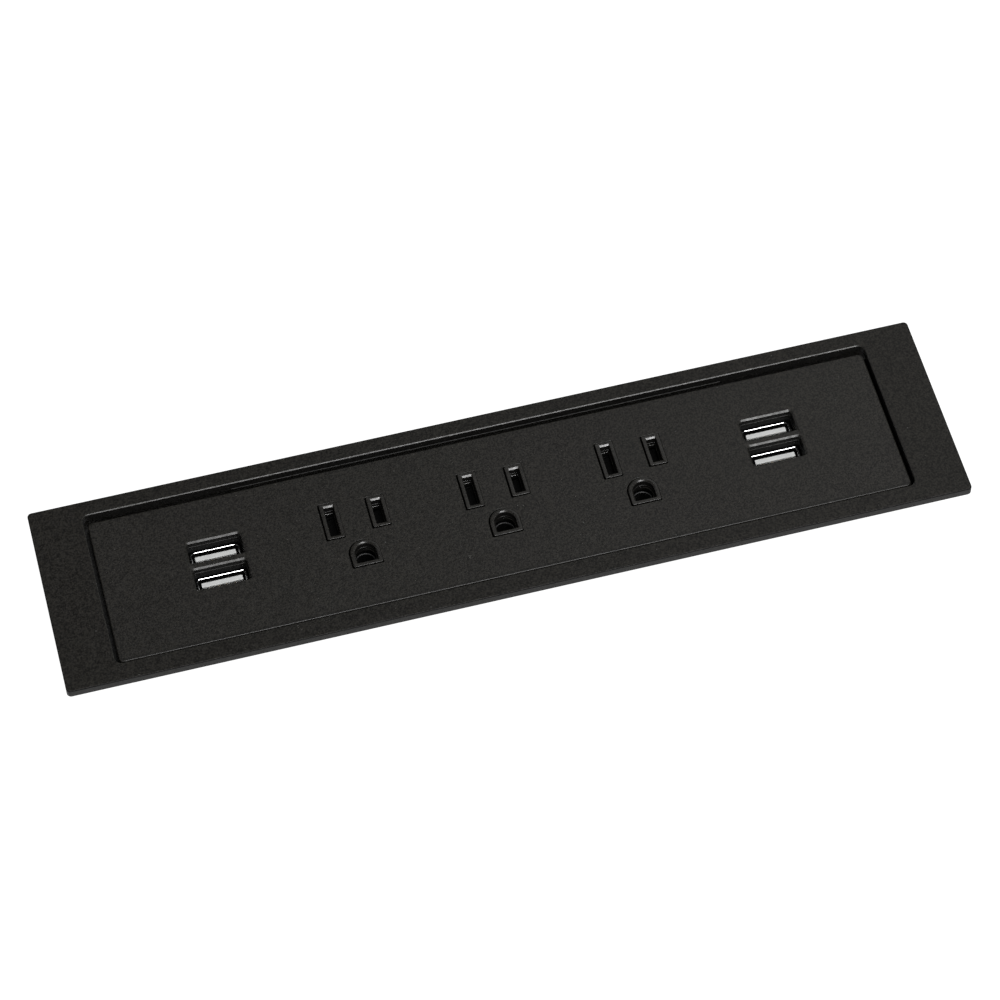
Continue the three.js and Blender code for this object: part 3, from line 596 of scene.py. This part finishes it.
def faceplate():
    low, high = box_mm("faceplate")
    top = high.z
    under = top - FACE["thick"]
    bm = bmesh.new()
    place = ((low + high) / 2).xy - Vector((0, FACE["front"] / 2))
    outline = rectangle(place, (high.x - low.x, high.y - low.y + FACE["front"]), FACE["corner"], 8)
    rim = rounded(top, FACE["edge"], 1, 1, 6) + rounded(under, 0.2, 1, -1, 2)
    face_top, face_low = wall(bm, outline, rim)
    tops, lows = [face_top], [face_low]
    holes = []
    for name in OUTLETS:
        x = middle_mm("receptacle_face_" + name).x
        for slot in SLOTS:
            size = [side + 2 * CLEARANCE for side in slot["collar"]]
            place = Vector((x + slot["x"] - HOLE_OFFSET, BLADE_Y - HOLE_OFFSET)) + OUTLET_SHIFT
            holes.append((rectangle(place, size, 0.35, 4), 0.04, 0.0))
        size = [side + 2 * CLEARANCE for side in GROUND["collar"]]
        place = Vector((x - HOLE_OFFSET, GROUND_Y - HOLE_OFFSET)) + OUTLET_SHIFT
        holes.append((arch(place, size, 0.4, 24), 0.04, 0.0))
    for side in SIDES:
        for row in ROWS:
            place = middle_mm(f"usb_shell_{side}_{row}").xy + Vector(USB_HOLE["shift"])
            hole = rectangle(place, USB_HOLE["size"], USB_HOLE["corner"])
            holes.append((hole, USB_HOLE["edge"], STEP["usb"]))
    level = top - STEP["usb_depth"]
    for hole, edge, step in holes:
        profile = bevelled(top, edge, -1) + [(0, level), (-step, level - 0.04)]
        profile += [(-step, under + 0.1), (0.1 - step, under)]
        hole_top, hole_low = wall(bm, hole, profile)
        tops.append(hole_top)
        lows.append(hole_low)
    lid(bm, *tops)
    lid(bm, *lows)
    for k in (-1.5, -0.5, 0.5, 1.5):
        for y, outward, barb_top in HOOK_ROWS:
            hook(bm, k * HOOK["pitch"], y, outward, barb_top)
    obj = finish(bm, "faceplate_panel", "black_plastic", "unit", ["faceplate"])

    def inner(at):
        return low.y + 1 < at.y < high.y - 1 and low.x + 1 < at.x < high.x - 1

    def lit_edge(at, tilt):
        beside_port = inner(at) and abs(at.x) > 60
        return (at.y < low.y or beside_port) and STEEPEST < tilt < FLATTEST

    # Painted shade: the walls of the faceplate's holes get a darker black.
    repaint(obj, "bore_shade_plastic", lambda at, tilt: inner(at) and abs(tilt) < STEEPEST)
    repaint(obj, "edge_plastic", lit_edge)


# ---------- Outlets ----------
def receptacle_face(name):
    node = "receptacle_face_" + name
    low, high = box_mm(node)
    x = (low.x + high.x) / 2
    top, bottom = high.z, low.z
    plate_top = bottom + PLATE
    bm = bmesh.new()
    plate = rectangle((x, (low.y + high.y) / 2), (high.x - low.x, high.y - low.y), 0.6, 3)
    plate_high, plate_low = wall(bm, plate, rounded(plate_top, 0.2, 1, 1, 2) + [(0, bottom)])
    tops, lows = [plate_high], [plate_low]
    forms = []
    side, end = FUNNEL["side"], FUNNEL["end"]
    for slot in SLOTS:
        place = Vector((x + slot["x"], BLADE_Y)) + OUTLET_SHIFT
        forms.append((
            rectangle(place, slot["collar"], 0.35, 4),
            slotted(place, slot["mouth"]),
            rectangle(place, slot["throat"], 0.1, 4),
            [(side + 0.03, end + 0.03), (side, end), (0.02, 0.02), (0, 0)],
            (-STEP["slot"], -STEP["slot"]),
            end,
        ))
    place = Vector((x, GROUND_Y)) + OUTLET_SHIFT
    depth = FUNNEL["ground"]
    forms.append((
        arch(place, GROUND["collar"], 0.4, 24),
        arch(place + Vector((0.1, 0.05)), GROUND["mouth"], 0.3, 24),
        circle((x, PIN_Y), GROUND["throat"], 48),
        [depth + 0.03, depth, 0.02, 0.0],
        -STEP["ground"],
        depth,
    ))
    for collar, mouth, throat, widths, narrow, depth in forms:
        collar_top, collar_low = wall(bm, collar, rounded(top, 0.1, 1, 1, 3) + [(0, plate_top)])
        heights = (top, top - 0.02, top - depth, top - depth - 0.04)
        step = top - STEP["depth"]
        profile = list(zip(widths, heights))
        profile += [(widths[-1], step), (narrow, step - 0.04), (narrow, top - LEDGE)]
        mouth_top, mouth_low = wall(bm, mouth, profile)
        throat_top, throat_low = wall(bm, throat, [(0.04, top - LEDGE), (0, top - LEDGE - 0.04), (0, bottom)])
        lid(bm, collar_top, mouth_top)
        lid(bm, mouth_low, throat_top)
        tops.append(collar_low)
        lows.append(throat_low)
    lid(bm, *tops)
    lid(bm, *lows)
    obj = finish(bm, f"outlet_face_{name}", "collar_plastic", "unit", [node])
    # Painted shade: the walls of the collars, mouths and throats get a darker black.
    repaint(obj, "bore_shade_plastic", lambda at, tilt: abs(tilt) < STEEPEST)


def shutter_spring(name):
    """A compression spring between the shutter and the end of its track."""
    place = middle_mm("shutter_spring_" + name)
    start = box_mm("shutter_" + name)[1].x + 0.05
    end = middle_mm("receptacle_face_" + name).x + TRACK_END
    coil, wire, turns, sides, round_steps = 0.85, 0.2, 6.5, 8, 20
    bm = bmesh.new()
    rings = []
    count = int(turns * round_steps)
    for k in range(count + 1):
        t = k / count
        closing = min(t, 1 - t) * turns
        pitch = (end - start - 2 * wire) * t
        ease = 0.12 if closing < 1 else 0.0
        along = start + wire + pitch * (1 - ease) + ease * (end - start - 2 * wire) * round(t)
        angle = 2 * math.pi * turns * t
        ring = []
        for s in range(sides):
            b = 2 * math.pi * s / sides
            r = coil + wire * math.cos(b)
            across = (place.y + r * math.cos(angle), place.z + r * math.sin(angle))
            ring.append((along + wire * math.sin(b), *across))
        rings.append(ring)
    cap(bm, loft(bm, rings))
    obj = finish(bm, f"return_spring_{name}", "steel", "unit", ["shutter_spring_" + name], smooth=60)
    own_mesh(obj)


def ground_bus():
    low, high = box_mm("ground_bus")
    bm = bmesh.new()
    strip = rectangle(((low.x + high.x) / 2, PIN_Y), (high.x - low.x, BUS["width"]), 0.3, 3)
    cap(bm, wall(bm, strip, rounded(BUS["high"], 0.08, 1, 1, 2) + rounded(BUS["low"], 0.08, 1, -1, 2)))
    gap = BUS["gap"]
    angles = [math.radians(270 + gap + (360 - 2 * gap) * k / 48) for k in range(49)]
    barrel = [(2.8, 2.4, BUS["low"]), (2.8, 2.4, 20.9), (2.8, 2.56, 21.3), (2.79, 2.75, 21.4)]
    for name in OUTLETS:
        x = middle_mm("receptacle_face_" + name).x
        rings = []
        for outer, inner, z in barrel:
            ring = [(x + outer * math.cos(a), PIN_Y + outer * math.sin(a), z) for a in angles]
            ring += [(x + inner * math.cos(a), PIN_Y + inner * math.sin(a), z) for a in reversed(angles)]
            rings.append(ring)
        cap(bm, loft(bm, rings))
    obj = finish(bm, "ground_contacts", "nickel", "unit", ["ground_bus"])
    # Painted shade: the barrels, down in the ground holes, get nearly black metal; the strip keeps its
    # nickel.
    repaint(obj, "tarnish_and_shade", lambda at, tilt: at.z > BUS["high"] + 0.1)


# ---------- USB ports ----------
def usb_port(side, row):
    shell_node, tongue_node = f"usb_shell_{side}_{row}", f"usb_tongue_{side}_{row}"
    low, high = box_mm(shell_node)
    x, y = (low.x + high.x) / 2, (low.y + high.y) / 2
    bottom, top = low.z, high.z
    bm = bmesh.new()
    skin = rectangle((x, y), SHELL["outside"], 0.9, 5)
    hollow = rectangle((x, y), SHELL["inside"], 0.6, 5)
    rim = top - SHELL["rim"]
    outer_low, outer_top = wall(bm, skin, [(0, bottom), (0, rim - 0.06), (-0.06, rim)])
    inner_low, inner_top = wall(bm, hollow, [(0, bottom), (0, rim - 0.06), (0.06, rim)])
    lid(bm, outer_low, inner_low)
    lid(bm, outer_top, inner_top)
    # Lead-in tabs bent out from the walls: bend on the two short ones, lip on the two long ones.
    bend = [
        (0.0, rim - 0.12),
        (0.0, rim),
        (0.08, rim + 0.18),
        (0.36, top - 0.04),
        (0.42, top),
        (0.46, top - 0.05),
        (0.42, top - 0.12),
        (0.3, rim + 0.12),
        (0.3, rim - 0.12),
    ]
    lip = [
        (-0.06, rim - 0.12),
        (-0.06, rim + 0.24),
        (-0.03, rim + 0.27),
        (0.1, rim + 0.32),
        (0.13, rim + 0.3),
        (0.13, rim - 0.12),
    ]
    long_tab = LEAD_IN[row] / 2
    for sign in (-1, 1):
        slab_x(bm, [(y + sign * (2.55 + out), z) for out, z in lip], x - long_tab, x + long_tab)
        ends = [[(x + sign * (6.25 + out), y + along, z) for out, z in bend] for along in (-1.9, 1.9)]
        cap(bm, loft(bm, ends))
    obj = finish(bm, f"usb_shell_{side}_{row}_flared", "nickel", "unit", [shell_node])
    # Painted shade: the shell's walls get nearly black metal.
    repaint(obj, "tarnish_and_shade", lambda at, tilt: abs(tilt) < STEEPEST)

    low, high = box_mm(tongue_node)
    bm = bmesh.new()
    foot = rectangle((x, y), TONGUE["foot"], 0.2, 2)
    level = TONGUE["foot_top"]
    cap(bm, wall(bm, foot, [(-0.1, level), (0, level - 0.1), (0, low.z)]))
    front, back, tip = y + TONGUE["front"], y + TONGUE["back"], high.z
    blade = rectangle((x, (front + back) / 2), (TONGUE["blade"], back - front), 0.2, 3)
    cap(bm, wall(bm, blade, rounded(tip, 0.16, 1, 1, 3) + [(0, level - 0.05)]))
    finish(bm, f"usb_tongue_{side}_{row}_blade", "white_resin", "unit", [tongue_node])

    bm = bmesh.new()
    for offset in (-3.5, -1.0, 1.0, 3.5):
        strip = rectangle((x + offset, front - 0.02), (1.0, 0.14), 0.03, 1)
        cap(bm, wall(bm, strip, [(-0.03, tip - 0.7), (0, tip - 0.8), (0, level)]))
    finish(bm, f"usb_contacts_{side}_{row}", "brass", "unit")


# ---------- Cord gland ----------
def gland():
    body_low, body_high = box_mm("gland_body")
    nut_low, nut_high = box_mm("gland_nut")
    seal_low, seal_high = box_mm("gland_seal")
    lock_low, lock_high = box_mm("gland_locknut")
    y, z = (body_low.y + body_high.y) / 2, (body_low.z + body_high.z) / 2
    across = Matrix(((0, 0, 1, 0), (1, 0, 0, y), (0, 1, 0, z), (0, 0, 0, 1)))
    thread, root, bore, wide, flats = 4.4, 4.12, 3.3, 9.0, 12.0

    def screw_thread(start, end):
        count = round((end - start) / 0.5)
        step = (end - start) / count
        return [(thread if k % 2 else root, start + step * k) for k in range(1, count)]

    hex_start, hex_end = 104.3, 107.1
    profile = [(bore, body_low.x), (root, body_low.x)]
    profile += screw_thread(body_low.x, hex_start) + [(root, hex_start)]
    profile += [(6.3, hex_start, flats), (wide, hex_start + 0.35, flats)]
    profile += [(wide, hex_end - 0.35, flats), (6.3, hex_end, flats), (root, hex_end)]
    profile += screw_thread(hex_end, body_high.x)
    profile += [(root, body_high.x), (bore + 0.1, body_high.x), (bore, body_high.x - 0.2)]
    bm = bmesh.new()
    turned(bm, profile, 72)
    finish(bm, "gland_threaded_body", "black_plastic", "unit", ["gland_body"], across)

    start, end = nut_low.x, nut_high.x
    profile = [
        (4.7, start),
        (6.3, start, flats),
        (wide, start + 0.4, flats),
        (wide, start + 4.6, flats),
        (6.05, start + 5.05, flats),
        (5.95, start + 5.5, 0, 0.12),
        (5.75, start + 6.6, 0, 0.14),
        (5.45, start + 7.3, 0, 0.14),
        (4.9, start + 8.2, 0, 0.08),
        (4.4, end - 0.12),
        (3.95, end),
        (3.5, end - 0.06),
        (bore, end - 0.3),
        (bore, end - 2.1),
        (4.7, end - 2.1),
    ]
    bm = bmesh.new()
    turned(bm, profile, 72)
    finish(bm, "gland_clamping_nut", "black_plastic", "unit", ["gland_nut"], across)

    bm = bmesh.new()
    start, end = seal_low.x, seal_high.x
    profile = [(3.1, start + 0.2), (3.3, start), (4.2, start), (4.3, start + 0.2)]
    profile += [(4.3, end - 0.3), (4.1, end), (3.3, end), (3.1, end - 0.2)]
    turned(bm, profile, 48)
    finish(bm, "gland_rubber_seal", "rubber", "unit", ["gland_seal"], across)

    bm = bmesh.new()
    start, end, flats = lock_low.x, lock_high.x, 10.8
    profile = [(4.7, start), (5.7, start, flats), (wide, start + 0.3, flats)]
    profile += [(wide, end - 0.3, flats), (5.7, end, flats), (4.7, end)]
    turned(bm, profile, 72)
    finish(bm, "gland_lock_nut", "black_plastic", "unit", ["gland_locknut"], across)


# ---------- Screws ----------
def threaded(radius, root, start, end, pitch, tip):
    """Thread rings from start to end, then a point up to tip."""
    count = int((end - start) / pitch * 2)
    rings = [(radius if k % 2 else root, start + pitch / 2 * k) for k in range(1, count)]
    return [(root, start), *rings, (root, end), (root * 0.35, tip)]


def screw(name, node, body, head, shank, recess, face, place):
    """A cross-recessed screw driven from below; head and shank are rings going up from the head's face."""
    bm = bmesh.new()
    head_ring, tip_ring = turned(bm, head + shank, 40, closed=False)
    arm = recess[0]
    sunk = [(0, face), (-arm * 0.2, face + arm * 0.3), (-arm * 0.45, face + arm * 0.62)]
    recess_ring, recess_low = wall(bm, cross(*recess), sunk)
    lid(bm, head_ring, recess_ring)
    lid(bm, recess_low)
    lid(bm, tip_ring)
    return finish(bm, name, "steel", body, [node], Matrix.Translation(place))


def screws():
    for k in (1, 2, 3, 4):
        node = f"frame_screw_{k}"
        low, high = box_mm(node)
        place = (low + high) / 2
        height = 1.2
        place.z = low.z + height
        head = [(1.7, -height), (2.2, -1.1), (2.55, -0.85), (2.7, -0.5), (2.7, 0)]
        shank = threaded(1.25, 1.0, 0, 4.2, 0.8, 5)
        screw(f"frame_screw_{k}_pan_head", node, "unit", head, shank, (1.45, 0.3), -height, place)
        node = f"cover_screw_{k}"
        low, high = box_mm(node)
        place = (low + high) / 2
        place.z = low.z
        head = [(2.4, 0), (2.5, 0.1), (2.5, 0.25), (1.15, 1.65)]
        shank = threaded(1.1, 0.88, 1.8, 8.2, 0.8, 9)
        screw(f"cover_screw_{k}_flat_head", node, "unit", head, shank, (1.3, 0.28), 0, place)


# ---------- Swing-out clamps ----------
def clamp(side):
    node = f"clamp_screw_{side}"
    low, high = box_mm(node)
    place = (low + high) / 2
    height = 2
    place.z = low.z + height
    head = [(2.3, -height), (2.9, -1.9), (3.35, -1.6), (3.6, -1.1), (3.6, -0.1), (3.5, 0), (2.0, 0)]
    head += [(2.0, 2.55), (2.9, 2.6), (3.0, 2.7), (3.0, 3.3), (2.9, 3.4), (2.0, 3.4)]  # retaining washer
    shank = threaded(2.0, 1.72, 3.45, 16.2, 0.75, high.z - place.z)
    screw(f"clamp_machine_screw_{side}", node, f"{side}_clamp_screw", head, shank, (1.9, 0.4), -height, place)

    node = f"clamp_nut_{side}"
    low, high = box_mm(node)
    axis = Vector((*((low + high) / 2).xy, 0))
    bottom, top = low.z, high.z
    bm = bmesh.new()
    profile = [
        (2.35, bottom + 0.2),
        (2.55, bottom),
        (4.05, bottom),
        (4.2, bottom + 0.15),
        (4.2, bottom + 0.6),
        (4.1, bottom + 0.7),
        (3.3, bottom + 0.7),
        (3.3, top - 0.2, 0, 0.1),
        (3.1, top),
        (2.55, top),
        (2.35, top - 0.2),
    ]
    turned(bm, profile, 72)
    finish(bm, f"clamp_brass_nut_{side}", "brass", f"{side}_clamp_nut", [node], Matrix.Translation(axis))

    node = f"clamp_dog_{side}"
    low, high = box_mm(node)
    bottom, top = low.z, high.z - 0.25
    bm = bmesh.new()
    outline = dog_outline(5.2, 3.5, 14.5, 2.4)
    dog_top, dog_low = wall(bm, outline, rounded(top, 0.4, 1, 1, 4) + rounded(bottom, 0.3, 1, -1, 3))
    bore = [(0.25, top), (0, top - 0.25), (0, bottom + 0.25), (0.25, bottom)]
    bore_top, bore_low = wall(bm, circle((0, 0), 3.6), bore)
    pocket = rectangle((0, 9.35), (4.2, 5.9), 0.6, 4)
    pocket_top, pocket_low = wall(bm, pocket, [(-0.2, bottom + 1.4), (0, bottom + 1.2), (0.15, bottom)])
    lid(bm, dog_top, bore_top)
    lid(bm, dog_low, bore_low, pocket_low)
    lid(bm, pocket_top)
    for k in range(6):
        y = 6.4 + 1.15 * k
        front, back, root = y - 0.4, y + 0.4, top - 0.1
        tooth = [(front, root), (front, top), (y + 0.25, high.z), (back, high.z - 0.05), (back, root)]
        slab_x(bm, tooth, -2.7, 2.7)
    place = Matrix.Translation(axis)
    finish(bm, f"clamp_toothed_dog_{side}", "black_plastic", f"{side}_clamp_dog", [node], place)


bezel_frame()
faceplate()
for outlet in OUTLETS:
    receptacle_face(outlet)
    shutter_spring(outlet)
    # The shutters' nearly black finish is partly painted shade in the slots.
    softened(f"shutter_{outlet}", 0.1, "shutter_plastic", f"{outlet}_shutter")
ground_bus()
for end_side in SIDES:
    for port_row in ROWS:
        usb_port(end_side, port_row)
    clamp(end_side)
gland()
screws()
softened("housing", 0.2, "housing_plastic")
softened("bottom_cover", 0.3, "housing_plastic")

# The CAD shapes that stay get the same finishes.
node_slots = {part["node"]: part["material_slot"] for part in frame["record"]["subparts"]}
for node_name, obj in frame["nodes"].items():
    if not obj.hide_render:
        obj.data.materials.clear()
        obj.data.materials.append(MATERIALS[node_slots[node_name]])


# ---------- Floor, lights and camera ----------
def studio_floor():
    """A pale floor that curves up into a low wall all round, and glows where it has to come out white."""
    bm = bmesh.new()
    rings = []
    sides = 96
    for radius, height in [(0.4, 0), (1.2, 0), (2.2, 0), (2.6, 0.06), (2.9, 0.24), (3.1, 0.5), (3.2, 0.9)]:
        angles = [2 * math.pi * k / sides for k in range(sides)]
        rings.append([(radius * math.cos(a), radius * math.sin(a), height) for a in angles])
    lid(bm, loft(bm, rings)[0])
    bmesh.ops.recalc_face_normals(bm, faces=bm.faces)
    mesh = bpy.data.meshes.new("studio_floor")
    bm.to_mesh(mesh)
    bm.free()
    mesh.shade_smooth()
    f = Finish("studio_white", 0.9, specular=0.1)
    pale = f.ramp(f.noise(3.0), (0.3, (0.84, 0.84, 0.84)), (0.7, (0.88, 0.88, 0.88)))
    f.color(f.mix(f.span(f.distance(), 0.0, 1.0, 0.6, 1.6), (0.14, 0.14, 0.14), pale))
    f.shader.inputs["Emission Color"].default_value = (1, 1, 1, 1)
    f.tree.links.new(f.span(f.distance(), 1.0, 0.12, 0.6, 1.6), f.shader.inputs["Emission Strength"])
    mesh.materials.append(f.material)
    obj = bpy.data.objects.new("studio_floor", mesh)
    bpy.context.scene.collection.objects.link(obj)


def softbox(name, place, size, power, target=(0, 0, 0.02)):
    light = bpy.data.lights.new(name, "AREA")
    light.shape = "RECTANGLE"
    light.size, light.size_y = size
    light.energy = power
    obj = bpy.data.objects.new(name, light)
    obj.location = place
    obj.rotation_euler = (Vector(target) - Vector(place)).to_track_quat("-Z", "Y").to_euler()
    bpy.context.scene.collection.objects.link(obj)


def camera():
    azimuth, elevation, roll = (math.radians(CAMERA[key]) for key in ("azimuth", "elevation", "roll"))
    flat = math.cos(elevation)
    forward = Vector((math.sin(azimuth) * flat, math.cos(azimuth) * flat, -math.sin(elevation)))
    level = forward.cross(Vector((0, 0, 1))).normalized()
    down = forward.cross(level)
    right = math.cos(roll) * level + math.sin(roll) * down
    up = -forward.cross(right)
    data = bpy.data.cameras.new("camera")
    data.sensor_width = 36
    data.lens = CAMERA["lens"]
    data.clip_start = 0.01
    data.clip_end = 20
    obj = bpy.data.objects.new("camera", data)
    turn = Matrix((right, up, -forward)).transposed().to_4x4()
    obj.matrix_world = Matrix.Translation(Vector(CAMERA["place"]) * MM) @ turn
    bpy.context.scene.collection.objects.link(obj)
    bpy.context.scene.camera = obj


studio_floor()
softbox("overhead_softbox", (0.3, -0.55, 2.25), (1.1, 0.8), 38)
softbox("front_strip", (0.38, -1.72, 1.15), (1.0, 0.16), 30)
softbox("back_softbox", (1.0, 1.38, 1.9), (1.3, 1.3), 4.3)
world = bpy.data.worlds.new("studio")
world.use_nodes = True
world.node_tree.nodes["Background"].inputs["Color"].default_value = (0.06, 0.06, 0.06, 1)
world.node_tree.nodes["Background"].inputs["Strength"].default_value = 1.0
bpy.context.scene.world = world
bpy.context.scene.view_settings.view_transform = "Standard"
camera()
